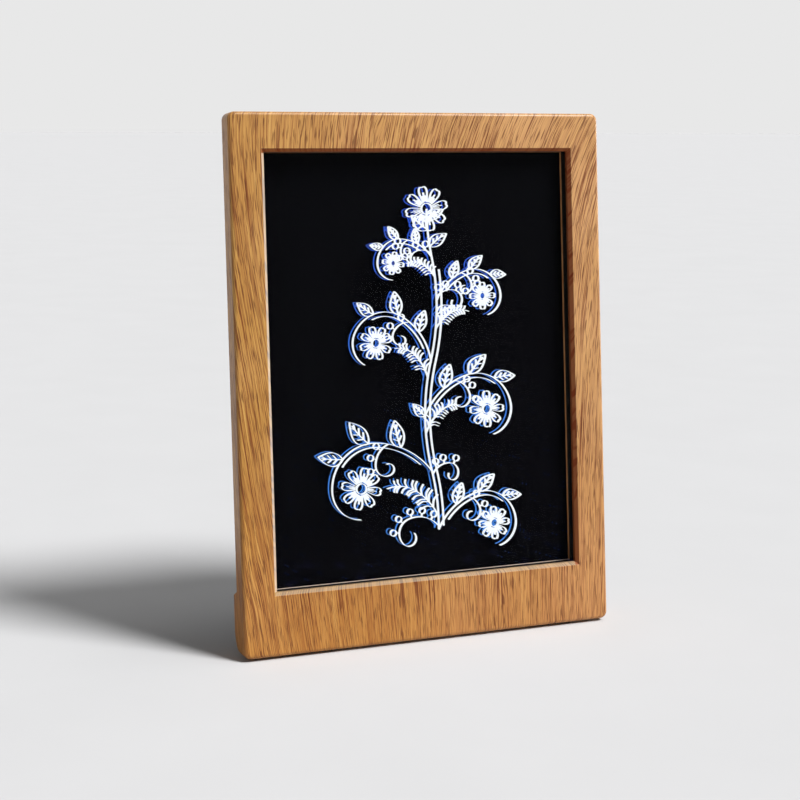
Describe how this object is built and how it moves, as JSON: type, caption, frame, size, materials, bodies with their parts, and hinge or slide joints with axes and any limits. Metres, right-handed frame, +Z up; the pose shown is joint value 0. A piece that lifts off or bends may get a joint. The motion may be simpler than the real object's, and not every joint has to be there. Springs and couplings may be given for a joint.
{
  "type": "photo frame night light",
  "caption": "Upright picture-frame night light: wood-look frame around a clear edge-lit panel, deeper base with a power inlet and a button at the back, and a swing-out stand leg.",
  "frame": {"origin": "middle of the footprint, on the floor the object stands on", "axes": "+Z up, -Y out of the lit front, +X to the right seen from the front; the frame leans back 6 degrees about X"},
  "size_m": [0.18, 0.0854, 0.2399],
  "materials": {
    "wood_film": "satin wood-grain film over moulded plastic",
    "clear_panel": "clear, polished edges",
    "pad_foam": "closed-cell foam",
    "brown_inner": "matte",
    "black_sheet": "matte",
    "white_channel": "matte",
    "circuit_board": "satin solder mask",
    "led_body": "clear over phosphor",
    "chip_black": "matte",
    "wire_red": "satin",
    "steel": "zinc plated",
    "black_cover": "fine moulded texture",
    "rubber_black": "matte"
  },
  "bodies": {
    "frame": {"front_bezel": "wood_film", "acrylic_panel": "clear_panel", "panel_pads": "pad_foam", "inner_frame": "brown_inner", "backdrop_sheet": "black_sheet", "light_channel": "white_channel", "led_board": "circuit_board", "leds": "led_body", "led_resistors": "chip_black", "led_wires": "wire_red", "control_board": "circuit_board", "board_components": "chip_black", "board_screws": "steel", "usb_socket": "steel", "usb_tongue": "chip_black", "switch_body": "chip_black", "rear_cover": "black_cover", "cover_screws": "steel", "hinge_pin": "steel", "hinge_washers": "steel", "base_feet": "rubber_black"},
    "leg": {"stand_leg": "black_cover", "leg_foot": "rubber_black"},
    "button": {"power_button": "black_cover", "switch_plunger": "white_channel"}
  },
  "joints": [
    {"name": "leg_hinge", "type": "hinge", "parent": "frame", "child": "leg", "pos_m": [0, -0.02844, 0.01796], "axis": [0, 0.1979, 0.9802], "range_deg": [0, 90]},
    {"name": "button_press", "type": "slide", "parent": "frame", "child": "button", "axis": [0, -0.9945, 0.1045], "range_m": [0, 0.0008], "stiffness_N_per_m": 300, "springref_m": -0.0025}
  ]
}
